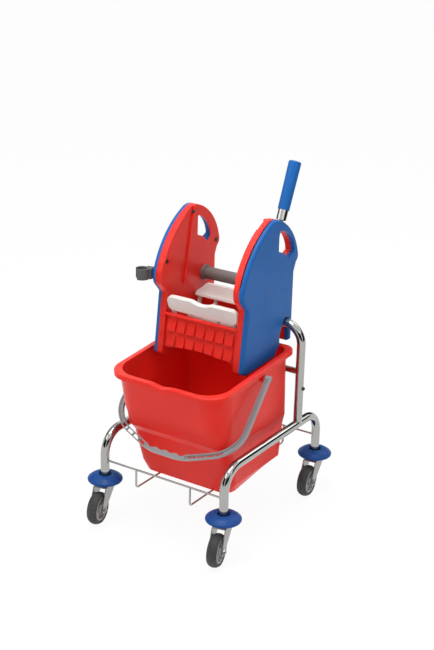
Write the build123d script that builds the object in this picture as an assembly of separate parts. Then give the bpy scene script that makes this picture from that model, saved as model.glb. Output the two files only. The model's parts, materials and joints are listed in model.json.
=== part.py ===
from build123d import *
import os
from math import atan, atan2, cos, degrees, hypot, pi, radians, sin, tan

# A single mop bucket trolley with a two-jaw lever wringer. Millimetres, +Z up, front towards -Y.
# The model is drawn about the middle of the four legs and moved onto the middle of its box at the end.

# Tube frame
leg_half_width = 172.5
leg_half_length = 214.0
tube_r = 11.0
tube_wall = 1.5
rail_z = 220.0
leg_bottom_z = 119.5
leg_bend_r = 55.0
wire_r = 2.5
cross_wire_z = 152.0
cradle_x = 78.0
cradle_z = 104.0
cradle_bend_r = 9.0
bow_y = 115.4
bow_top_z = 477.0
bow_bend_r = 48.0
cross_bar_r = 8.0
cross_bar_z = 358.0
bow_screw_z = 316.0
bow_screw_r = 5.0

# Casters and bumper discs
wheel_r = 40.0
wheel_width = 25.0
tyre_depth = 11.0
caster_trail = 42.0
caster_headings = {"front_left": 12.0, "front_right": 13.0, "rear_right": 6.0, "rear_left": 9.0}
fork_gap = 30.0
fork_plate = 2.5
fork_top_z = 91.0
fork_head_half = 24.0
fork_foot_r = 10.0
swivel_head_r = 21.0
swivel_pin_r = 6.0
stem_r = 9.0
axle_r = 4.0
axle_head_r = 7.5
axle_head_h = 4.0
bumper_r = 43.0
bumper_bottom_z = 97.0
bumper_edge_h = 9.0
bumper_top_z = 115.5
bumper_well_r = 14.5
bumper_well_z = 106.0

# Bucket
bucket_clearance = 0.3
bucket_wall = 3.0
bucket_floor = 3.5
heel_z = 131.0
ledge_low_z = 222.0
ledge_high_z = 246.0
base_front, base_rear = -121.0, 95.0
base_half_front, base_half_rear = 128.0, 109.0
base_front_r, base_rear_r = 30.0, 22.0
heel_front, heel_rear, heel_half = -127.0, 102.0, 135.0
heel_front_r, heel_rear_r = 26.0, 12.0
low_front, low_rear, low_half = -151.0, 105.0, 141.0
low_front_r, low_rear_r = 24.0, 12.0
high_front, high_rear, high_half = -175.0, 106.0, 146.0
high_front_r, high_rear_r = 34.0, 13.0
top_front, top_rear, top_half = -219.0, 106.5, 149.5
top_front_r, top_rear_r = 60.0, 32.0
bulge_depth = 3.5
crease_top_y, crease_mid_y, crease_low_y, crease_end_y = -84.0, -122.0, -158.0, -182.0
crease_mid_z, crease_low_z = 356.0, 330.0
rim_z, rim_ref_y = 400.8, -126.8
rim_rise = 0.079
rim_lip = 10.5
rim_thick = 3.0
rim_skirt = 12.0
rim_roll_r = 2.8
rim_front_r, rim_rear_r = 54.0, 28.0
spout_half, spout_dip = 36.0, 6.0

# Bail handle
bail_y, bail_z = -26.0, 386.0
bail_droop = 43.4
bail_lip_gap = 0.5
bail_reach = 248.3
bail_belly, bail_belly_reach = 9.6, 172.0
bail_shoulder, bail_shoulder_drop = 138.3, 35.3
bail_grip_flat = 48.5
bail_bend_r, bail_front_r = 70.0, 124.0
bail_band = 13.0
bail_thick = 8.0
bail_flange = 3.0
bail_web = 3.0
bail_pin_r = 4.0
bail_eye_r = 7.0
grip_half = 56.0
finger_r, finger_depth = 14.5, 3.0
window_count, window_pitch, window_rib = 4, 23.0, 4.0
boss_r = 11.0

# Wringer housings
housing_inner_x, housing_seam_x, housing_outer_x = 101.5, 117.0, 128.5
shell_wall = 3.0
slot_clearance = 0.3
panel_bottom_z, panel_front_y = 396.0, -80.0
notch_y, notch_z = -61.5, 554.0
nose_y, nose_z, nose_half = -88.0, 598.0, 20.0
nose_tuck = 5.0
rise_y, rise_z = -34.5, 696.0
arch_y, arch_z = 46.0, 749.0
fall_y, fall_z = 120.0, 713.0
heel_top_y, heel_top_z = 162.0, 641.0
heel_mid_y, heel_mid_z = 161.0, 630.0
heel_end_y, heel_end_z = 153.0, 621.0
panel_rear_y, panel_rear_z = 143.5, 600.0
tab_bottom_z = 425.0
slot_flare, slot_flare_z = 13.5, 455.0
foot_y, foot_z, toe_y = 68.0, 400.0, -55.0
foot_slope = 4.0
toe_rise = 6.0
hole_front_y, hole_front_low_z, hole_high_z = 65.0, 668.0, 718.0
hole_mid_y, hole_mid_z = 108.0, 689.0
hole_rear_y, hole_rear_z = 124.0, 654.0
cover_hole_mid_y, cover_hole_mid_z = 118.0, 696.0
cover_hole_rear_y, cover_hole_rear_z = 141.0, 652.0
hole_dip_y, hole_dip_z, hole_step_y, hole_step_z = 112.0, 639.0, 89.0, 659.0
hole_corner_r = 4.0
cover_edge_r, cover_step = 7.0, 5.0
tight_corner_r, wide_corner_r, arch_corner_r = 3.0, 7.0, 40.0
bead_width, bead_height, bead_low_z = 5.0, 2.0, 628.0
rib_width, rib_height = 6.0, 5.0
rib_top_y, rib_foot_y, rib_foot_z = 46.0, 8.0, 560.0
stay_bar_y, stay_bar_z, stay_bar_r = 97.0, 565.0, 15.3
stay_collar_r, stay_collar_h = 18.5, 9.0
grate_y, grate_top_z, grate_bottom_z, grate_plate = -69.0, 506.0, 420.0, 4.0
grate_columns, grate_rows, pad_gap, pad_depth = 7, 2, 6.0, 6.5
ledge_depth, ledge_height = 9.0, 5.0
rear_grate_y = 78.0
screw_r, screw_head, screw_shank_r = 5.0, 2.0, 2.5
screw_grip, screw_end_gap = 6.0, 1.0

# Wringer mechanism
gear_module = 2.0
lever_teeth, jaw_teeth = 26, 43
gear_thick = 8.5
gear_play = 0.35
jaw_middle_y, jaw_shaft_z = 3.0, 466.0
jaw_shaft_r = 7.0
running_clearance = 0.05
jaw_end_gap = 3.0
jaw_lean = 16.0
jaw_top, jaw_head_h, jaw_thick = 88.0, 40.0, 13.0
jaw_corner_r = 15.0
jaw_dip_half, jaw_dip = 27.0, 7.0
rear_head_h, rear_corner_r = 36.0, 3.5
jaw_slope_run, jaw_slope_drop = 29.0, 27.0
lip_depth, lip_height = 5.0, 6.0
jaw_inner_arm_x, jaw_outer_arm_inset = 40.0, 12.0
jaw_edge_r = 3.0
jaw_arm_width = 8.0
jaw_hub_r = 11.0
jaw_travel = 36.0
front_sector_span, rear_sector_span = (-8.0, 104.0), (136.0, 188.0)
lever_lean = 23.0
lever_arm_thick = 2.6
lever_slot_play = 0.4
lever_pin_r = 6.0
lever_tube_r, lever_tube_wall = 12.0, 1.5
lever_tube_start, lever_grip_start, lever_length = 232.5, 257.0, 374.0
lever_grip_r, lever_grip_end_r = 14.0, 15.2

# Mop handle clip
clip_bore_r, clip_wall, clip_height = 12.0, 4.5, 26.0
clip_x, clip_y, clip_z = -149.0, -97.0, 602.0
clip_mouth = 17.0

# Values that follow from the sizes above
jaw_gear_r = gear_module * jaw_teeth / 2
lever_gear_r = gear_module * lever_teeth / 2
front_shaft_y = jaw_middle_y - jaw_gear_r
rear_shaft_y = jaw_middle_y + jaw_gear_r
lever_travel = jaw_travel * jaw_teeth / lever_teeth
lever_arm_width = 2 * ((lever_tube_r - lever_tube_wall) ** 2 - (lever_arm_thick / 2) ** 2) ** 0.5 - running_clearance
mesh_angle = 57.5
lever_y = front_shaft_y + (jaw_gear_r + lever_gear_r) * cos(radians(mesh_angle))
lever_z = jaw_shaft_z + (jaw_gear_r + lever_gear_r) * sin(radians(mesh_angle))
front_lean = degrees(atan((notch_y - panel_front_y) / (notch_z - panel_bottom_z)))
bucket_floor_z = cradle_z + wire_r + bucket_clearance
corners = {
    "front_left": (-leg_half_width, -leg_half_length),
    "front_right": (leg_half_width, -leg_half_length),
    "rear_right": (leg_half_width, leg_half_length),
    "rear_left": (-leg_half_width, leg_half_length),
}


def rod(start, end, radius):
    axis = Vector(*end) - Vector(*start)
    return Part() + Solid.make_cylinder(radius, axis.length, Plane(origin=start, z_dir=axis))


def x_rod(x0, x1, y, z, radius):
    return rod((x0, y, z), (x1, y, z), radius)


def swept(path, section):
    return sweep(Plane(origin=path @ 0, z_dir=path % 0) * section, path=path)


def ring(outer, inner):
    return Circle(outer) - Circle(inner)


def rounded_plan(front, rear, half_front, half_rear, front_r, rear_r):
    """A bucket section: a four-sided plan with one radius at the front and one at the rear."""
    plan = Polygon((-half_front, front), (half_front, front), (half_rear, rear), (-half_rear, rear), align=None)
    plan = fillet(plan.vertices().sort_by(Axis.Y)[:2], front_r)
    return fillet(plan.vertices().sort_by(Axis.Y)[-2:], rear_r)


# Frame

def side_frame(x):
    """Front leg, rail and rear leg, bent from one tube."""
    path = FilletPolyline(
        (x, -leg_half_length, leg_bottom_z), (x, -leg_half_length, rail_z),
        (x, leg_half_length, rail_z), (x, leg_half_length, leg_bottom_z), radius=leg_bend_r)
    return swept(path, ring(tube_r, tube_r - tube_wall))


def wringer_bow():
    """The U-shaped tube that carries the wringer, with its feet saddled onto the rails."""
    path = FilletPolyline(
        (-leg_half_width, bow_y, rail_z), (-leg_half_width, bow_y, bow_top_z),
        (leg_half_width, bow_y, bow_top_z), (leg_half_width, bow_y, rail_z), radius=bow_bend_r)
    bow = swept(path, ring(tube_r, tube_r - tube_wall))
    for x in (-leg_half_width, leg_half_width):
        bow -= rod((x, -leg_half_length / 2, rail_z), (x, leg_half_length, rail_z), tube_r)
    return bow


def bow_cross_bar():
    bar = x_rod(-leg_half_width, leg_half_width, bow_y, cross_bar_z, cross_bar_r)
    bar -= x_rod(-leg_half_width, leg_half_width, bow_y, cross_bar_z, cross_bar_r - tube_wall)
    for x in (-leg_half_width, leg_half_width):
        bar -= rod((x, bow_y, rail_z), (x, bow_y, bow_top_z), tube_r)
    return bar


def bow_screws():
    """A domed screw head on the outside of each bow upright."""
    heads = []
    for side in (-1, 1):
        x = side * leg_half_width
        dome = Pos(x + side * tube_r, bow_y, bow_screw_z) * Sphere(bow_screw_r)
        heads.append(dome - rod((x, bow_y, rail_z), (x, bow_y, bow_top_z), tube_r))
    return heads


def cross_wire(y):
    wire = x_rod(-leg_half_width, leg_half_width, y, cross_wire_z, wire_r)
    for x in (-leg_half_width, leg_half_width):
        wire -= rod((x, y, leg_bottom_z), (x, y, rail_z), tube_r)
    return wire


def cradle_wire(x):
    """One of the two dropped wires that the bucket stands on, hung from the cross wires."""
    y = leg_half_length
    path = FilletPolyline((x, -y, cross_wire_z), (x, -y, cradle_z), (x, y, cradle_z), (x, y, cross_wire_z),
                          radius=cradle_bend_r)
    wire = swept(path, Circle(wire_r))
    for end in (-y, y):
        wire -= x_rod(x - tube_r, x + tube_r, end, cross_wire_z, wire_r)
    return wire


# Casters, drawn with the stem on the Z axis and the wheel trailing towards -Y

def caster_stem():
    """Plug in the leg tube, collar, and the rivet that the fork turns on."""
    plug_top = leg_bottom_z + 2 * tube_r
    stem = rod((0, 0, leg_bottom_z), (0, 0, plug_top), tube_r - tube_wall)
    stem += rod((0, 0, leg_bottom_z - 4), (0, 0, leg_bottom_z), tube_r)
    stem += rod((0, 0, bumper_bottom_z - 1), (0, 0, leg_bottom_z - 4), stem_r)
    rivet_z = fork_top_z - fork_plate - bucket_clearance
    stem += rod((0, 0, rivet_z), (0, 0, bumper_bottom_z - 1), swivel_pin_r)
    stem += rod((0, 0, rivet_z - 3), (0, 0, rivet_z), stem_r)
    return stem


def bumper_disc():
    """Soft saucer under the leg that keeps the frame off walls."""
    edge_top = bumper_bottom_z + bumper_edge_h
    profile = make_face(
        Polyline((stem_r, bumper_bottom_z), (bumper_r - 3, bumper_bottom_z))
        + ThreePointArc((bumper_r - 3, bumper_bottom_z), (bumper_r, bumper_bottom_z + bumper_edge_h / 2),
                        (bumper_r - 3, edge_top))
        + ThreePointArc((bumper_r - 3, edge_top), (bumper_r - 14, bumper_top_z - 2.5),
                        (bumper_well_r + 2, bumper_top_z))
        + Polyline((bumper_well_r + 2, bumper_top_z), (bumper_well_r, bumper_top_z - 2),
                   (bumper_well_r, bumper_well_z), (stem_r, bumper_well_z), (stem_r, bumper_bottom_z)))
    return revolve(Plane.XZ * profile, Axis.Z)


def caster_fork():
    """Pressed fork: a swivel head, a top plate and two tapered cheeks."""
    outline = make_hull(
        (Pos(-caster_trail, wheel_r) * Circle(fork_foot_r)).edges()
        + (Pos(-fork_head_half / 4, fork_top_z - 6) * Rectangle(2 * fork_head_half, 12)).edges())
    blank = extrude(Plane.YZ * outline, fork_gap / 2 + fork_plate, both=True)
    blank = fillet(blank.edges().filter_by(Axis.Y).sort_by(Axis.Z)[-2:], fork_plate)
    opening = extrude(Plane.YZ * offset(outline, 3 * fork_plate), fork_gap / 2, both=True)
    opening = split(opening, Plane.XY.offset(fork_top_z - fork_plate), keep=Keep.BOTTOM)
    fork = blank - opening
    fork += rod((0, 0, fork_top_z), (0, 0, bumper_bottom_z - 1.5), swivel_head_r)
    fork -= rod((0, 0, 0), (0, 0, 2 * fork_top_z), swivel_pin_r + running_clearance)
    fork -= x_rod(-fork_gap, fork_gap, -caster_trail, wheel_r, axle_r)
    return fork


def caster_axle():
    """Hexagon bolt through the cheeks, with its nut."""
    half = fork_gap / 2 + fork_plate
    axle = x_rod(-half - axle_head_h, half + axle_head_h + 2, -caster_trail, wheel_r, axle_r)
    for x in (-half - axle_head_h, half):
        hexagon = Plane(origin=(x, -caster_trail, wheel_r), z_dir=(1, 0, 0)) * RegularPolygon(axle_head_r, 6)
        axle += extrude(hexagon, axle_head_h)
    return axle


def wheel_profile(points):
    return make_face(Polyline(*points, close=True))


def caster_rim():
    """Moulded wheel centre with a dished web and a hub bored for the axle."""
    bed_r = wheel_r - tyre_depth
    bore = axle_r + running_clearance
    half = wheel_width / 2
    hub_half = fork_gap / 2 - 0.5
    profile = wheel_profile([
        (bore, -hub_half), (11, -hub_half), (12, -5), (bed_r - 6, -5), (bed_r - 4, -half + 1.5), (bed_r, -half + 1.5),
        (bed_r, half - 1.5), (bed_r - 4, half - 1.5), (bed_r - 6, 5), (12, 5), (11, hub_half), (bore, hub_half)])
    return Pos(0, -caster_trail, wheel_r) * (Rot(0, 90, 0) * revolve(Plane.XZ * profile, Axis.Z))


def caster_tyre():
    bed_r = wheel_r - tyre_depth
    half = wheel_width / 2
    shoulder = 5.0
    profile = make_face(
        Polyline((bed_r, -half + 1.5), (wheel_r - shoulder, -half))
        + ThreePointArc((wheel_r - shoulder, -half), (wheel_r, 0), (wheel_r - shoulder, half))
        + Polyline((wheel_r - shoulder, half), (bed_r, half - 1.5), (bed_r, -half + 1.5)))
    return Pos(0, -caster_trail, wheel_r) * (Rot(0, 90, 0) * revolve(Plane.XZ * profile, Axis.Z))


# Bucket

def rim_plane(drop):
    """The sloping plane of the bucket rim, lowered by drop; the rim rises towards the wringer."""
    slope = atan(rim_rise)
    return Plane(origin=(0, 0, rim_z - rim_rise * rim_ref_y - drop), x_dir=(1, 0, 0), z_dir=(0, -sin(slope), cos(slope)))


def rim_plan(grow):
    """Plan of the bucket mouth, grown outwards, as drawn on the rim plane."""
    stretch = 1 / cos(atan(rim_rise))
    half = top_half + grow
    return rounded_plan((top_front - grow) * stretch, (top_rear + grow) * stretch, half, half,
                        top_front_r + grow, top_rear_r + grow)


def lip_plan(inset):
    """Outline of the rolled lip on the rim plane, squarer at its corners than the walls below."""
    stretch = 1 / cos(atan(rim_rise))
    reach = rim_lip - inset
    return rounded_plan((top_front - reach) * stretch, (top_rear + reach) * stretch, top_half + reach,
                        top_half + reach, rim_front_r - inset, rim_rear_r - inset)


def bucket_body(grow, floor_z, top_drop):
    """Walls as one loft: heel rounded up at the rear, step at mid height, flared upper part, sloping mouth."""
    sections = [
        Pos(0, 0, floor_z) * rounded_plan(base_front - grow, base_rear + grow, base_half_front + grow,
                                          base_half_rear + grow, base_front_r + grow, base_rear_r + grow),
        Pos(0, 0, heel_z) * rounded_plan(heel_front - grow, heel_rear + grow, heel_half + grow, heel_half + grow,
                                         heel_front_r + grow, heel_rear_r + grow),
        Pos(0, 0, ledge_low_z) * rounded_plan(low_front - grow, low_rear + grow, low_half + grow, low_half + grow,
                                              low_front_r + grow, low_rear_r + grow),
        Pos(0, 0, ledge_high_z) * rounded_plan(high_front - grow, high_rear + grow, high_half + grow,
                                               high_half + grow, high_front_r + grow, high_rear_r + grow),
        rim_plane(top_drop) * rim_plan(grow),
    ]
    return loft(sections, ruled=True)


def front_bulge():
    """The mouth's front half stands proud of the side panels, with a crease swept down to the step."""
    crease_top_z = rim_z - rim_thick
    above = rim_z + rim_skirt
    crease = make_face(
        Spline((crease_top_y, crease_top_z), (crease_mid_y, crease_mid_z), (crease_low_y, crease_low_z),
               (crease_end_y, ledge_high_z))
        + Polyline((crease_end_y, ledge_high_z), (2 * top_front, ledge_high_z), (2 * top_front, above),
                   (crease_top_y, above), (crease_top_y, crease_top_z)))
    return extrude(Plane.YZ * crease, 2 * top_half, both=True)


def bucket():
    walls = bucket_body(0, bucket_floor_z, rim_thick)
    walls += bucket_body(bulge_depth, bucket_floor_z, rim_thick) & front_bulge()
    for side in (-1, 1):
        walls += x_rod(side * top_half / 2, side * (bail_half() - bail_band / 2 - bucket_clearance), bail_y, bail_z, boss_r)
    walls += rim()
    walls += spout_block()
    walls -= bucket_body(-bucket_wall, bucket_floor_z + bucket_floor, -1)
    walls -= spout_cut()
    pin = bail_pin_r + running_clearance
    return walls - x_rod(-2 * bail_half(), 2 * bail_half(), bail_y, bail_z, pin)


def rim():
    """Rolled lip: a rounded flange with a skirt turned down around the mouth."""
    roll = extrude(lip_plan(0), -rim_skirt)
    roll = fillet(roll.edges().group_by(Axis.Z)[-1], rim_roll_r)
    roll -= extrude(rim_plan(-bucket_wall), 3 * rim_skirt, both=True)
    roll -= Pos(0, 0, -rim_thick) * extrude(lip_plan(bucket_wall) - rim_plan(0), -rim_skirt)
    return rim_plane(0) * roll


def spout_wave(drop):
    """Curve of the pouring dip as seen from the front, lowered by drop."""
    return Spline((-spout_half, -drop), (0, -drop - spout_dip), (spout_half, -drop), tangents=((1, 0), (1, 0)))


def spout_prism(face):
    """A front view carried through the front of the lip."""
    reach = rim_lip + 2 * bucket_wall
    return rim_plane(0) * (Pos(0, top_front, 0) * extrude(Plane.XZ * face, reach, both=True))


def spout_block():
    """Lip that follows the pouring dip downwards."""
    face = make_face(spout_wave(rim_skirt) + Line((spout_half, -rim_skirt), (-spout_half, -rim_skirt)))
    lip = rim_plane(0) * extrude(lip_plan(0) - rim_plan(-bucket_wall), -2 * rim_skirt)
    inner = make_face(spout_wave(rim_thick) + Line((spout_half, -rim_thick), (-spout_half, -rim_thick)))
    return (spout_prism(face) + spout_prism(inner)) & lip


def spout_cut():
    """Shallow pouring dip across the front of the rim."""
    face = make_face(spout_wave(0) + Polyline((spout_half, 0), (spout_half, rim_skirt), (-spout_half, rim_skirt),
                                              (-spout_half, 0)))
    return spout_prism(face)


# Bail, drawn flat with its pivots on the X axis and its grip towards +Y, then hung forwards

def bail_half():
    """Pivot arms far enough out to swing past the rolled lip."""
    return top_half + rim_lip + bail_lip_gap + bail_band / 2


def bail_line():
    half = bail_half()
    belly = (half + bail_belly, bail_belly_reach)
    shoulder = (bail_shoulder, bail_reach - bail_shoulder_drop)
    front = (bail_grip_flat, bail_reach)
    right = ((half, 0), belly, shoulder, front)
    left = tuple((-x, y) for x, y in reversed(right))
    return FilletPolyline(*right, *left, radius=(bail_bend_r, bail_bend_r, bail_front_r, bail_front_r, bail_bend_r,
                                                 bail_bend_r))


def bail_handle():
    """Plastic bail: a flanged band with windows beside a finger grip, and a pin at each end."""
    line = bail_line()
    band = extrude(trace(line, bail_band), bail_thick / 2, both=True)
    half = bail_half()
    for side in (-1, 1):
        band += x_rod(side * (half - bail_band / 2), side * (half + bail_band / 2), 0, 0, bail_eye_r)
    pocket_depth = (bail_thick - bail_web) / 2
    pocket = trace(line, bail_band - 2 * bail_flange) - Pos(0, bail_reach) * Rectangle(2 * grip_half, 3 * bail_band)
    pocket -= Rectangle(3 * half, 2.4 * bail_eye_r)
    for face_z, depth in ((bail_thick / 2, -pocket_depth), (-bail_thick / 2, pocket_depth)):
        band -= Pos(0, 0, face_z) * extrude(pocket, depth)
    for index in range(window_count):
        along = grip_half + 6 + window_pitch * (index + 0.5)
        for distance in (line.length / 2 - along, line.length / 2 + along):
            spot = line.location_at(distance, PositionMode.LENGTH)
            heading = line.tangent_at(distance, PositionMode.LENGTH)
            turn = degrees(atan2(heading.Y, heading.X))
            window = Box(window_pitch - window_rib, bail_band - 2 * bail_flange, 2 * bail_thick)
            band -= Pos(spot.position) * (Rot(0, 0, turn) * window)
    for index in range(4):
        x = (index - 1.5) * grip_half / 2
        band -= Pos(x, bail_reach - bail_band / 2 - finger_r + finger_depth) * Cylinder(finger_r, 2 * bail_thick)
    for side in (-1, 1):
        band += x_rod(side * (top_half - 2 * bucket_wall), side * half, 0, 0, bail_pin_r)
    return Pos(0, bail_y, bail_z) * (Rot(bail_droop, 0, 0) * (Rot(0, 0, 180) * band))


# Wringer

def slot_r():
    return tube_r + slot_clearance


def panel_outline():
    """Side view of a wringer housing: straight leg, notch, bulging front, arch, rear tab and bow slot."""
    gap = slot_r()
    toe = (panel_front_y, panel_bottom_z + toe_rise)
    notch = (notch_y, notch_z)
    nose_low = (nose_y + nose_tuck, nose_z - nose_half)
    nose_high = (nose_y + nose_tuck, nose_z + nose_half)
    arch = (arch_y, arch_z)
    heel_top = (heel_top_y, heel_top_z)
    heel_end = (heel_end_y, heel_end_z)
    back = (panel_rear_y, panel_rear_z)
    tab_rear, tab_front = (panel_rear_y, tab_bottom_z), (bow_y + gap, tab_bottom_z)
    slot_rear, slot_front = (bow_y + gap, bow_top_z), (bow_y - gap, bow_top_z)
    flare = (bow_y - gap - slot_flare, slot_flare_z)
    foot_top = (bow_y - gap - slot_flare, tab_bottom_z)
    foot, sole = (foot_y, foot_z), (toe_y, panel_bottom_z - foot_slope)
    outline = make_face(
        Line(toe, notch) + Line(notch, nose_low)
        + ThreePointArc(nose_low, (nose_y, nose_z), nose_high)
        + ThreePointArc(nose_high, (rise_y, rise_z), arch)
        + ThreePointArc(arch, (fall_y, fall_z), heel_top)
        + ThreePointArc(heel_top, (heel_mid_y, heel_mid_z), heel_end)
        + Polyline(heel_end, back, tab_rear, tab_front, slot_rear)
        + ThreePointArc(slot_rear, (bow_y, bow_top_z + gap), slot_front)
        + Polyline(slot_front, flare, foot_top, foot, sole, toe))
    tight = (tab_rear, tab_front, flare, heel_end)
    wide = (notch, nose_low, nose_high, heel_top, back, foot_top, foot, sole, toe)
    for places, radius in ((tight, tight_corner_r), (wide, wide_corner_r), ((arch,), arch_corner_r)):
        for place in places:
            outline = fillet(outline.vertices().sort_by_distance((*place, 0))[:1], radius)
    return outline


def handle_hole(grow, middle, rear):
    """Finger hole through the housing: upright front, wavy floor, rear edge along the arch."""
    front_low, front_high = (hole_front_y, hole_front_low_z), (hole_front_y, hole_high_z)
    hole = make_face(
        Line(front_low, front_high) + ThreePointArc(front_high, middle, rear)
        + Polyline(rear, (hole_dip_y, hole_dip_z), (hole_step_y, hole_step_z), front_low))
    hole = fillet(hole.vertices(), hole_corner_r)
    return offset(hole, grow) if grow else hole


def shell_hole():
    return handle_hole(0, (hole_mid_y, hole_mid_z), (hole_rear_y, hole_rear_z))


def cover_hole(grow):
    """The hole in the cover reaches further back than the one in the shell."""
    return handle_hole(grow, (cover_hole_mid_y, cover_hole_mid_z), (cover_hole_rear_y, cover_hole_rear_z))


def lever_slot():
    """Room between the shells for the lever arm, from its rest to the end of its pull."""
    half = lever_arm_thick / 2 + lever_slot_play
    spread = 6.5
    start = 90 - lever_lean - spread
    sweep_angle = lever_travel + 2 * spread
    reach = lever_length
    fan = make_face(
        Polyline((0, 0), (reach * cos(radians(start)), reach * sin(radians(start))))
        + CenterArc((0, 0), reach, start, sweep_angle)
        + Polyline((reach * cos(radians(start + sweep_angle)), reach * sin(radians(start + sweep_angle))), (0, 0)))
    blade = extrude(Plane.YZ * (Pos(lever_y, lever_z) * fan), half, both=True)
    return Pos(housing_seam_x, 0, 0) * blade


def shaft_places():
    return ((front_shaft_y, jaw_shaft_z), (rear_shaft_y, jaw_shaft_z))


def screw_places():
    """Screws at the heel, the two lower corners, the nose and the arch, set in from the outline."""
    return ((heel_top_y - 14, heel_top_z - 5), (panel_front_y + 22, panel_bottom_z + 44), (foot_y - 38, foot_z + 20),
            (nose_y + 24, nose_z + 34), (arch_y - 4, arch_z - 18))


def right_screw_places():
    """The lever sweeps past the nose and the arch, so the right housing has no screws there."""
    return screw_places()[:3]


def inner_shell(hole, screws):
    """Right-hand inner shell, open towards its cover."""
    outline = panel_outline()
    depth = housing_seam_x - housing_inner_x
    shell = extrude(outline, depth) - Pos(0, 0, shell_wall) * extrude(offset(outline, -shell_wall), depth)
    shell -= extrude(hole, 3 * depth, both=True)
    for y, z in screws:
        shell += Pos(y, z, 0) * extrude(Circle(1.6 * screw_r), depth)
        shell -= Pos(y, z, 0) * Cylinder(screw_shank_r + running_clearance, 4 * depth)
    bead_high = arch_z - bead_low_z
    bead_front = Pos(rib_foot_y - bead_high / 2, bead_low_z + bead_high / 2)
    bead = (outline - offset(outline, -bead_width)) & (bead_front * Rectangle(bead_high, bead_high))
    shell += extrude(bead, -bead_height)
    rib = extrude(trace(Line((rib_foot_y, rib_foot_z), (rib_top_y, arch_z)), rib_width), rib_height, both=True)
    shell += rib & extrude(outline, -rib_height)
    for y, z in screws:
        shell -= Pos(y, z, 0) * extrude(Circle(screw_r + bucket_clearance), -3 * shell_wall)
    shell = Pos(housing_inner_x, 0, 0) * (Plane.YZ * shell)
    for y, z in shaft_places():
        shell += x_rod(housing_inner_x + shell_wall, housing_inner_x + 4, y, z, 2 * jaw_shaft_r)
        shell -= x_rod(0, 2 * housing_outer_x, y, z, jaw_shaft_r + running_clearance)
    return shell


def outer_cover(collar_reach, screws):
    """Right-hand outer cover with a rounded edge; the finger hole's collar reaches past the seam."""
    outline = panel_outline()
    depth = housing_outer_x - housing_seam_x
    cover = extrude(outline, depth)
    cover = fillet(cover.faces().sort_by(Axis.Z)[-1].edges(), cover_edge_r)
    room = depth - shell_wall
    cover -= extrude(offset(outline, -shell_wall), room - cover_step)
    cover -= extrude(offset(outline, -shell_wall - cover_step), room)
    cover += Pos(0, 0, -collar_reach) * extrude(cover_hole(shell_wall), collar_reach + depth)
    cover -= extrude(cover_hole(0), 3 * depth, both=True)
    for y, z in screws:
        cover += Pos(y, z, 0) * extrude(Circle(1.6 * screw_r), depth - shell_wall)
        cover -= Pos(y, z, 0) * extrude(Circle(screw_shank_r + running_clearance), screw_grip + screw_end_gap)
    return Pos(housing_seam_x, 0, 0) * (Plane.YZ * cover)


def right_inner_shell():
    """Has its own collar at the finger hole, as the lever's slot parts it from the cover's."""
    collar = cover_hole(shell_wall) - cover_hole(0)
    shell = inner_shell(cover_hole(0), right_screw_places())
    shell += Pos(housing_inner_x, 0, 0) * (Plane.YZ * extrude(collar, housing_seam_x - housing_inner_x))
    shell -= lever_slot()
    shell += x_rod(housing_inner_x + shell_wall, lever_gear_x(), lever_y, lever_z, 2 * lever_pin_r)
    return shell - x_rod(housing_inner_x + 1, housing_outer_x, lever_y, lever_z, lever_pin_r)


def right_outer_cover():
    return outer_cover(0, right_screw_places()) - lever_slot()


def left_inner_shell():
    return mirror(inner_shell(shell_hole(), screw_places()), Plane.YZ)


def left_outer_cover():
    shell_room = housing_seam_x - housing_inner_x - shell_wall
    return mirror(outer_cover(shell_room, screw_places()), Plane.YZ)


def grate(y, facing, lean):
    """Wall between the housings: a plate with an overhanging ledge and rows of wedge-shaped pads."""
    width = 2 * housing_inner_x
    height = grate_top_z - grate_bottom_z
    plate = Pos(0, 0, height / 2) * Box(width, grate_plate, height)
    plate += Pos(0, facing * ledge_depth / 2, height - ledge_height / 2) * Box(width, grate_plate + ledge_depth,
                                                                               ledge_height)
    column = (width - 2 * pad_gap) / grate_columns
    row = (height - ledge_height - pad_gap) / grate_rows
    face = facing * grate_plate / 2
    profile = make_face(Polyline((face, row - pad_gap), (face, 0), (face + facing * pad_depth, 0), close=True))
    for line in range(grate_rows):
        for place in range(grate_columns):
            x = -width / 2 + pad_gap + column * place + pad_gap / 2
            pad = extrude(Plane.YZ * profile, column - pad_gap)
            plate += Pos(x, 0, line * row + pad_gap) * pad
    arch_half, arch_rise = width * 0.42, 10.0
    arch_r = (arch_half ** 2 + arch_rise ** 2) / (2 * arch_rise)
    plate -= Pos(0, 0, arch_rise - arch_r) * (Rot(90, 0, 0) * Cylinder(arch_r, 6 * pad_depth + 2 * ledge_depth))
    return Pos(0, y, grate_bottom_z) * (Rot(facing * lean, 0, 0) * plate)


def stay_bar():
    """Round bar that ties the housings together, with a collar against each."""
    bar = x_rod(-housing_inner_x, housing_inner_x, stay_bar_y, stay_bar_z, stay_bar_r)
    for side in (-1, 1):
        bar += x_rod(side * (housing_inner_x - stay_collar_h), side * housing_inner_x, stay_bar_y, stay_bar_z, stay_collar_r)
    return bar


def cover_screws():
    """Pan heads on the inner faces that hold the covers on."""
    heads = []
    for side, places in ((-1, screw_places()), (1, right_screw_places())):
        face = side * housing_inner_x
        tip = side * (housing_seam_x + screw_grip)
        for y, z in places:
            head = x_rod(face, face - side * screw_head, y, z, screw_r)
            head += x_rod(face, tip, y, z, screw_shank_r)
            heads.append(head)
    return heads


def jaw_half():
    return housing_inner_x - jaw_end_gap


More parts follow.
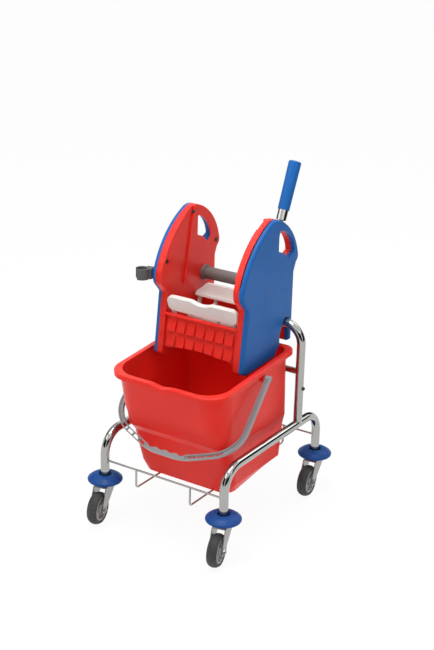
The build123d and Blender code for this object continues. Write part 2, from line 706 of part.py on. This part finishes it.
def front_head():
    """Front jaw's face: rounded ends and a dip in the middle of its top edge."""
    head = Pos(0, jaw_top - jaw_head_h / 2) * Rectangle(2 * jaw_half(), jaw_head_h)
    head = fillet(head.vertices(), jaw_corner_r)
    dip_r = (jaw_dip_half ** 2 + jaw_dip ** 2) / (2 * jaw_dip)
    head -= Pos(0, jaw_top + dip_r - jaw_dip) * Circle(dip_r)
    crests = head.vertices().group_by(Axis.Y)[-1].sort_by(Axis.X)
    return fillet(crests[1:-1], jaw_corner_r)


def rear_head():
    """Rear jaw's face: its ends slope down to each side."""
    half, low, shoulder = jaw_half(), jaw_top - rear_head_h, jaw_top - jaw_slope_drop
    head = Polygon((-half, low), (half, low), (half, shoulder), (half - jaw_slope_run, jaw_top),
                   (jaw_slope_run - half, jaw_top), (-half, shoulder), align=None)
    return fillet(head.vertices(), rear_corner_r)


def jaw(facing, head, lip=0):
    """One squeezing jaw upright on its shaft: a rounded head, arms and a hub tube, and a lip under its face."""
    jaw_part = extrude(Plane.XZ * head, jaw_thick / 2, both=True)
    rims = jaw_part.faces().sort_by(Axis.Y)
    jaw_part = fillet(rims[0].edges() + rims[-1].edges(), jaw_edge_r)
    arm_top = jaw_top - jaw_head_h / 2
    arm = Pos(0, 0, arm_top / 2) * Box(jaw_arm_width, jaw_thick - 2 * jaw_edge_r, arm_top)
    half = jaw_half()
    if lip:
        lip_y, lip_z = -facing * (jaw_thick + lip - jaw_edge_r) / 2, jaw_top - rear_head_h + lip_height / 2
        jaw_part += Pos(0, lip_y, lip_z) * Box(2 * (half - rear_corner_r), lip + jaw_edge_r, lip_height)
    for x in (jaw_inner_arm_x, half - jaw_outer_arm_inset):
        jaw_part += Pos(x, 0, 0) * arm + Pos(-x, 0, 0) * arm
    jaw_part += x_rod(-half, half, 0, 0, jaw_hub_r)
    jaw_part -= x_rod(-2 * half, 2 * half, 0, 0, jaw_shaft_r)
    y = jaw_middle_y + facing * jaw_gear_r
    return Pos(0, y, jaw_shaft_z) * (Rot(-facing * jaw_lean, 0, 0) * jaw_part)


def jaw_shaft(y):
    return x_rod(-housing_seam_x + 2, lever_gear_x() + gear_thick, y, jaw_shaft_z, jaw_shaft_r)


def lever_gear_x():
    return housing_seam_x - lever_arm_thick / 2 - gear_thick


def tooth(radius, angle):
    """A tooth with straight flanks, thinned for play, centred on angle."""
    pitch_half = gear_module * pi / 4 - gear_play / 2
    slope = tan(radians(20))
    add, ded = 0.85 * gear_module, 1.6 * gear_module
    face = Polygon((radius - ded, -pitch_half - ded * slope), (radius + add, -pitch_half + add * slope),
                   (radius + add, pitch_half - add * slope), (radius - ded, pitch_half + ded * slope), align=None)
    return Rot(0, 0, angle) * face


def gear_sector(teeth, hub_r, first, last, bore, phase):
    """Toothed sector in side view; phase is an angle at which a tooth (0) or a gap (0.5) is centred."""
    radius = gear_module * teeth / 2
    root = radius - 1.2 * gear_module
    step = 360 / teeth
    if last - first >= 360:
        blank = Circle(root)
        count = teeth
    else:
        blank = make_face(Polyline((0, 0), (root * cos(radians(first)), root * sin(radians(first))))
                          + CenterArc((0, 0), root, first, last - first)
                          + Polyline((root * cos(radians(last)), root * sin(radians(last))), (0, 0)))
        blank += Circle(hub_r)
        count = int((last - first) / step)
    begin = phase + step * (int((first - phase) / step) + (1 if first > phase else 0))
    for index in range(count):
        blank += tooth(radius, begin + step * index)
    return blank - Circle(bore)


def gear_solid(sketch, y, z):
    return Pos(lever_gear_x(), y, z) * (Plane.YZ * extrude(sketch, gear_thick))


def front_jaw_gear():
    """Sector driven by the lever gear and meshed with the rear jaw's sector."""
    sector = gear_sector(jaw_teeth, 2 * jaw_shaft_r, *front_sector_span, jaw_shaft_r, 0)
    return gear_solid(sector, front_shaft_y, jaw_shaft_z)


def rear_jaw_gear():
    sector = gear_sector(jaw_teeth, 2 * jaw_shaft_r, *rear_sector_span, jaw_shaft_r, 180 + 180 / jaw_teeth)
    return gear_solid(sector, rear_shaft_y, jaw_shaft_z)


def lever_gear():
    """Full gear on the lever, phased so that a gap meets the front sector's tooth."""
    step = 360 / jaw_teeth
    offset_at_mesh = mesh_angle - step * round(mesh_angle / step)
    phase = 180 + mesh_angle + 180 / lever_teeth + offset_at_mesh * jaw_teeth / lever_teeth
    gear = gear_sector(lever_teeth, 0, 0, 360, lever_pin_r + running_clearance, phase)
    return gear_solid(gear, lever_y, lever_z)


def lever_place():
    return Pos(housing_seam_x, lever_y, lever_z) * Rot(-lever_lean, 0, 0)


def lever_arm():
    """Flat steel arm from the gear to a tongue inside the lever tube."""
    tongue_w = 2 * (lever_tube_r - lever_tube_wall) - 1
    end = lever_tube_start + 40
    arm = Circle(lever_arm_width) + Pos(0, lever_tube_start / 2) * Rectangle(lever_arm_width, lever_tube_start)
    arm += Pos(0, end / 2) * Rectangle(tongue_w, end)
    arm -= Circle(lever_pin_r + running_clearance)
    return lever_place() * extrude(Plane.YZ * arm, lever_arm_thick / 2, both=True)


def lever_tube():
    tube = extrude(ring(lever_tube_r, lever_tube_r - lever_tube_wall), lever_length - 6 - lever_tube_start)
    return lever_place() * (Pos(0, 0, lever_tube_start) * tube)


def lever_grip():
    """Slightly tapered sleeve with a rounded closed end."""
    profile = make_face(
        Polyline((lever_tube_r, lever_grip_start), (lever_grip_r - 1, lever_grip_start), (lever_grip_r, lever_grip_start + 1),
                 (lever_grip_end_r, lever_length - 4))
        + ThreePointArc((lever_grip_end_r, lever_length - 4), (lever_grip_end_r - 1.2, lever_length - 1.2),
                        (lever_grip_end_r - 4, lever_length))
        + Polyline((lever_grip_end_r - 4, lever_length), (0, lever_length), (0, lever_length - 6),
                   (lever_tube_r, lever_length - 6), (lever_tube_r, lever_grip_start)))
    return lever_place() * revolve(Plane.XZ * profile, Axis.Z)


def lever_pin():
    """Fixed pin that the lever turns on, held in both shells."""
    return x_rod(housing_inner_x + 1, housing_outer_x - shell_wall, lever_y, lever_z, lever_pin_r)


def mop_clip():
    """Spring clip for a mop handle, on a bracket at the left housing's front edge."""
    outer = clip_bore_r + clip_wall
    clip = ring(outer, clip_bore_r)
    mouth = Rot(0, 0, 225) * (Pos(outer, 0) * Rectangle(2 * outer, clip_mouth))
    clip -= mouth
    bracket = Polygon((2, 2), (-clip_x - housing_outer_x, 6), (-clip_x - housing_outer_x, 28), (0, 22), align=None)
    clip += bracket - Circle(clip_bore_r)
    return Pos(clip_x, clip_y, clip_z) * extrude(clip, clip_height / 2, both=True)


def build():
    pieces = {
        "side_frame_left": side_frame(-leg_half_width),
        "side_frame_right": side_frame(leg_half_width),
        "wringer_bow": wringer_bow(),
        "bow_cross_bar": bow_cross_bar(),
        "bow_screws": bow_screws(),
        "front_cross_wire": cross_wire(-leg_half_length),
        "rear_cross_wire": cross_wire(leg_half_length),
        "cradle_wire_left": cradle_wire(-cradle_x),
        "cradle_wire_right": cradle_wire(cradle_x),
        "bucket": bucket(),
        "bail_handle": bail_handle(),
        "inner_shell_left": left_inner_shell(),
        "inner_shell_right": right_inner_shell(),
        "outer_cover_left": left_outer_cover(),
        "outer_cover_right": right_outer_cover(),
        "front_grate": grate(grate_y, -1, front_lean),
        "rear_grate": grate(rear_grate_y, 1, 0),
        "stay_bar": stay_bar(),
        "cover_screws": cover_screws(),
        "mop_clip": mop_clip(),
        "front_jaw": jaw(-1, front_head()),
        "rear_jaw": jaw(1, rear_head(), lip_depth),
        "front_jaw_shaft": jaw_shaft(front_shaft_y),
        "rear_jaw_shaft": jaw_shaft(rear_shaft_y),
        "front_jaw_gear": front_jaw_gear(),
        "rear_jaw_gear": rear_jaw_gear(),
        "lever_gear": lever_gear(),
        "lever_arm": lever_arm(),
        "lever_tube": lever_tube(),
        "lever_grip": lever_grip(),
        "lever_pin": lever_pin(),
    }
    caster = {
        "caster_stem": caster_stem(), "bumper": bumper_disc(), "caster_fork": caster_fork(),
        "caster_axle": caster_axle(), "wheel_rim": caster_rim(), "wheel_tyre": caster_tyre(),
    }
    for corner, (x, y) in corners.items():
        for name, shape in caster.items():
            pieces[f"{name}_{corner}"] = Pos(x, y, 0) * (Rot(0, 0, caster_headings[corner]) * shape)
    return pieces


def as_shape(piece):
    """A node of several separate solids becomes one group."""
    return Compound(children=[Part() + solid for solid in piece]) if isinstance(piece, list) else piece


def export(pieces):
    """Move the origin to the floor under the middle of the object's box and write one file a node."""
    shapes = {name: as_shape(piece) for name, piece in pieces.items()}
    box = Compound(children=[Part() + shape for shape in shapes.values()]).bounding_box()
    place = Pos(0, -box.center().Y, 0)
    os.makedirs("parts", exist_ok=True)
    for name, shape in shapes.items():
        export_step(place * shape, f"parts/{name}.step")
    print("origin moved by Y", round(-box.center().Y, 4), "box", box.min, box.max)


export(build())
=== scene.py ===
import json
from math import cos, radians, sin

import bpy
from mathutils import Matrix, Vector

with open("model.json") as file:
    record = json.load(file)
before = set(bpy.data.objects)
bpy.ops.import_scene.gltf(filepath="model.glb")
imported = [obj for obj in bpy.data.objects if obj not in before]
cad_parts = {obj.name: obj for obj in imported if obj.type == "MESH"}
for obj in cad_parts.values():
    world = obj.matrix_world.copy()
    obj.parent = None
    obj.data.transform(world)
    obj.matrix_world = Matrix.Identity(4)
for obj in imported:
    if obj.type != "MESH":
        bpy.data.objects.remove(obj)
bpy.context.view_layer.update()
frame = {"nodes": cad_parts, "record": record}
nodes = frame["nodes"]
scene = bpy.context.scene
scene.view_settings.view_transform = "Standard"


# Materials

def new_material(name):
    """An empty node material with its principled shader."""
    material = bpy.data.materials.new(name)
    material.use_nodes = True
    return material, material.node_tree, material.node_tree.nodes["Principled BSDF"]


def noise(tree, scale, detail=3.0, rough=0.5, stretch=None):
    """Noise in the object's own metres."""
    coord = tree.nodes.new("ShaderNodeTexCoord")
    texture = tree.nodes.new("ShaderNodeTexNoise")
    texture.inputs["Scale"].default_value = scale
    texture.inputs["Detail"].default_value = detail
    texture.inputs["Roughness"].default_value = rough
    source = coord.outputs["Object"]
    if stretch:
        mapping = tree.nodes.new("ShaderNodeMapping")
        mapping.inputs["Scale"].default_value = stretch
        tree.links.new(source, mapping.inputs["Vector"])
        source = mapping.outputs["Vector"]
    tree.links.new(source, texture.inputs["Vector"])
    return texture.outputs["Fac"]


def ramp(tree, source, low, high, at=(0.3, 0.7)):
    """A colour that runs from low to high over the given stretch of the source."""
    node = tree.nodes.new("ShaderNodeValToRGB")
    node.color_ramp.elements[0].position = at[0]
    node.color_ramp.elements[1].position = at[1]
    node.color_ramp.elements[0].color = (*low, 1)
    node.color_ramp.elements[1].color = (*high, 1)
    tree.links.new(source, node.inputs["Fac"])
    return node.outputs["Color"]


def spread(tree, source, low, high, at=(0.3, 0.7)):
    """A value that runs from low to high where the noise runs over its usual range."""
    node = tree.nodes.new("ShaderNodeMapRange")
    node.inputs["From Min"].default_value = at[0]
    node.inputs["From Max"].default_value = at[1]
    node.inputs["To Min"].default_value = low
    node.inputs["To Max"].default_value = high
    tree.links.new(source, node.inputs["Value"])
    return node.outputs["Result"]


def bump(tree, shader, height, strength, distance):
    """A fine grain in the surface's normal; distance is its height in metres."""
    node = tree.nodes.new("ShaderNodeBump")
    node.inputs["Strength"].default_value = strength
    node.inputs["Distance"].default_value = distance
    tree.links.new(height, node.inputs["Height"])
    tree.links.new(node.outputs["Normal"], shader.inputs["Normal"])


def plastic(name, colour, rough, grain=900.0, grain_depth=0.00004, shade=0.08, specular=0.45, depth=None):
    """Moulded plastic: a fine spark-eroded grain, faint flow mottling and handling haze.

    A thin-walled moulding lets light through its walls to the depth given for red, green and blue.
    """
    material, tree, shader = new_material(name)
    dark = [c * (1 - shade) for c in colour]
    light = [min(1, c * (1 + shade * 0.6)) for c in colour]
    mottling = noise(tree, 9.0, 4.0)
    tree.links.new(ramp(tree, mottling, dark, light), shader.inputs["Base Color"])
    haze = noise(tree, 35.0, 5.0, 0.6)
    tree.links.new(spread(tree, haze, rough - 0.05, rough + 0.07), shader.inputs["Roughness"])
    shader.inputs["Specular IOR Level"].default_value = specular
    if depth:
        shader.inputs["Subsurface Weight"].default_value = 1.0
        shader.inputs["Subsurface Radius"].default_value = depth
        shader.inputs["Subsurface Scale"].default_value = 1.0
    bump(tree, shader, noise(tree, grain, 2.0), 0.25, grain_depth)
    return material


def plated(name, colour, rough, scratch=(40.0, 40.0, 2.0), haze=0.05):
    """Plated steel: mirror-like, with a breath of haze and hair lines along the part."""
    material, tree, shader = new_material(name)
    dull = [c * 0.9 for c in colour]
    breath = noise(tree, 14.0, 5.0)
    tree.links.new(ramp(tree, breath, dull, colour), shader.inputs["Base Color"])
    hair_lines = noise(tree, 22.0, 6.0, 0.65, scratch)
    tree.links.new(spread(tree, hair_lines, rough, rough + haze), shader.inputs["Roughness"])
    shader.inputs["Metallic"].default_value = 1.0
    bump(tree, shader, noise(tree, 300.0, 2.0), 0.05, 0.00003)
    return material


def rubber(name, colour, rough, dust, specular=0.35):
    """Rubber with a dry bloom and a little dust."""
    material, tree, shader = new_material(name)
    dusting = noise(tree, 30.0, 6.0, 0.6)
    tree.links.new(ramp(tree, dusting, colour, dust, (0.45, 0.85)), shader.inputs["Base Color"])
    bloom = noise(tree, 60.0, 4.0)
    tree.links.new(spread(tree, bloom, rough - 0.06, rough + 0.06), shader.inputs["Roughness"])
    shader.inputs["Specular IOR Level"].default_value = specular
    bump(tree, shader, noise(tree, 700.0, 3.0), 0.3, 0.00006)
    return material


red_light_depth = (0.0055, 0.0007, 0.0005)
finishes = {
    "chrome": plated("chrome_plate", (0.43, 0.43, 0.415), 0.05),
    "zinc": plated("zinc_plate", (0.34, 0.34, 0.33), 0.26, haze=0.12),
    "black_steel": plated("black_steel", (0.06, 0.06, 0.06), 0.35),
    "red_plastic": plastic(
        "red_moulding", (0.75, 0.029, 0.018), 0.38, specular=0.33, depth=red_light_depth
    ),
    "blue_plastic": plastic("blue_moulding", (0.008, 0.105, 0.36), 0.40, specular=0.2),
    "grey_plastic": plastic("grey_moulding", (0.27, 0.275, 0.285), 0.38),
    "dark_plastic": plastic("dark_moulding", (0.085, 0.085, 0.085), 0.45),
    "pale_plastic": plastic("pale_moulding", (0.69, 0.68, 0.65), 0.40),
    "blue_rubber": rubber("blue_bumper", (0.006, 0.056, 0.235), 0.42, (0.011, 0.07, 0.265), 0.2),
    "hub_plastic": plastic("hub_moulding", (0.30, 0.30, 0.29), 0.45),
    "tyre_rubber": rubber("tyre", (0.033, 0.035, 0.036), 0.62, (0.075, 0.075, 0.075)),
}
# Nodes whose look differs from the slot they share with others; the bow screws' look is a painted
# reflection
node_finishes_and_painted_reflection = {
    "stay_bar": plastic("stay_bar_moulding", (0.15, 0.14, 0.135), 0.45),
    # Painted reflection: the chrome bow screws get black steel, so their dark colour stands in for the
    # dark reflections on chrome
    "bow_screws": finishes["black_steel"],
}
for part in frame["record"]["subparts"]:
    mesh = nodes[part["node"]].data
    mesh.materials.clear()
    mesh.materials.append(node_finishes_and_painted_reflection.get(part["node"], finishes[part["material_slot"]]))


# Studio

def area_light(name, place, target, size, power):
    """A square soft lamp at a place, turned to its target."""
    light = bpy.data.lights.new(name, "AREA")
    light.shape = "RECTANGLE"
    light.size = size
    light.size_y = size
    light.energy = power
    lamp = bpy.data.objects.new(name, light)
    scene.collection.objects.link(lamp)
    lamp.location = place
    lamp.rotation_euler = (Vector(target) - Vector(place)).to_track_quat("-Z", "Y").to_euler()


def backdrop_rays(tree):
    """1 for rays that should meet the pale backdrop: the camera's, and mirrored or transmitted ones."""
    path = tree.nodes.new("ShaderNodeLightPath")
    total = path.outputs["Is Camera Ray"]
    for kind in ("Is Glossy Ray", "Is Transmission Ray"):
        add = tree.nodes.new("ShaderNodeMath")
        add.operation = "ADD"
        add.use_clamp = True
        tree.links.new(total, add.inputs[0])
        tree.links.new(path.outputs[kind], add.inputs[1])
        total = add.outputs[0]
    return total


def studio_floor():
    """Pale floor that keeps a faint contact shadow; the share that glows is white whatever falls on it."""
    floor_size, glow_share = 40, 0.93
    bpy.ops.mesh.primitive_plane_add(size=floor_size, location=(0, 0, 0))
    floor = bpy.context.object
    floor.name = "studio_floor"
    material, tree, shader = new_material("studio_floor")
    shader.inputs["Base Color"].default_value = (0.92, 0.92, 0.92, 1)
    shader.inputs["Roughness"].default_value = 0.9
    shader.inputs["Specular IOR Level"].default_value = 0.1
    glow = tree.nodes.new("ShaderNodeEmission")
    share = tree.nodes.new("ShaderNodeMath")
    share.operation = "MULTIPLY"
    share.inputs[1].default_value = glow_share
    mix = tree.nodes.new("ShaderNodeMixShader")
    tree.links.new(backdrop_rays(tree), share.inputs[0])
    tree.links.new(share.outputs[0], mix.inputs["Fac"])
    tree.links.new(shader.outputs["BSDF"], mix.inputs[1])
    tree.links.new(glow.outputs["Emission"], mix.inputs[2])
    tree.links.new(mix.outputs["Shader"], tree.nodes["Material Output"].inputs["Surface"])
    floor.data.materials.append(material)


def studio_world():
    """White backdrop, lit by a soft dome that is brighter overhead."""
    world = bpy.data.worlds.new("studio")
    scene.world = world
    world.use_nodes = True
    tree = world.node_tree
    coord = tree.nodes.new("ShaderNodeTexCoord")
    split = tree.nodes.new("ShaderNodeSeparateXYZ")
    tree.links.new(coord.outputs["Generated"], split.inputs["Vector"])
    horizon, zenith = (0.28, 0.28, 0.28), (1.0, 1.0, 1.0)
    dome = ramp(tree, split.outputs["Z"], horizon, zenith, (0.1, 0.9))
    mix = tree.nodes.new("ShaderNodeMixRGB")
    mix.inputs["Color2"].default_value = (1, 1, 1, 1)
    tree.links.new(backdrop_rays(tree), mix.inputs["Fac"])
    tree.links.new(dome, mix.inputs["Color1"])
    tree.links.new(mix.outputs["Color"], tree.nodes["Background"].inputs["Color"])


def studio_flags():
    """Black cloths round the set, seen only in bright metal, that give plated tube its dark stripe."""
    material, tree, shader = new_material("black_cloth")
    shader.inputs["Base Color"].default_value = (0.015, 0.015, 0.015, 1)
    shader.inputs["Roughness"].default_value = 0.9
    shader.inputs["Specular IOR Level"].default_value = 0.0
    radius, low, high = 1.25, 0.36, 1.05
    count, share, panels = 5, 0.8, 8
    row = panels + 1
    for index in range(count):
        corners = []
        for step in range(row):
            turn = radians(360 / count) * (index + share * step / panels)
            corners.append((radius * cos(turn), radius * sin(turn)))
        points = [(x, y, z) for z in (low, high) for x, y in corners]
        faces = [(k, k + 1, k + row + 1, k + row) for k in range(panels)]
        mesh = bpy.data.meshes.new(f"black_cloth_{index}")
        mesh.from_pydata(points, [], faces)
        mesh.materials.append(material)
        cloth = bpy.data.objects.new(f"black_cloth_{index}", mesh)
        scene.collection.objects.link(cloth)
        cloth.visible_camera = False
        cloth.visible_diffuse = False
        cloth.visible_shadow = False


def photo_camera():
    """The photograph's view: from the front right and above, with a slight roll."""
    azimuth, elevation, roll = radians(32.87), radians(20.42), radians(1.46)
    distance, shift_right, shift_up = 3.1622, 0.00425, 0.06848
    focal_px, photo_height_px, sensor_mm = 1304.05, 650, 36.0
    centre = Vector((0, 0.018802, 0.4025))
    back = Vector((sin(azimuth) * cos(elevation), -cos(azimuth) * cos(elevation), sin(elevation)))
    level = Vector((cos(azimuth), sin(azimuth), 0))
    upward = back.cross(level)
    right = level * cos(roll) + upward * sin(roll)
    up = upward * cos(roll) - level * sin(roll)
    eye = centre + right * shift_right + up * shift_up + back * distance
    data = bpy.data.cameras.new("photo_camera")
    data.sensor_fit = "VERTICAL"
    data.sensor_height = sensor_mm
    data.lens = focal_px / photo_height_px * sensor_mm
    data.clip_end = 100
    camera = bpy.data.objects.new("photo_camera", data)
    scene.collection.objects.link(camera)
    turn = Matrix((right, up, back)).transposed().to_4x4()
    camera.matrix_world = Matrix.Translation(eye) @ turn
    scene.camera = camera


studio_floor()
studio_world()
studio_flags()
photo_camera()
area_light("key", (-1.6, -2.4, 2.6), (0, 0, 0.4), 1.6, 13)
area_light("fill", (2.6, -1.2, 1.6), (0, 0, 0.4), 1.8, 7)
area_light("rim", (0.5, 2.4, 2.4), (0, 0, 0.5), 1.4, 12)
area_light("top", (0.0, -0.5, 2.6), (0, 0, 0.2), 1.2, 34)
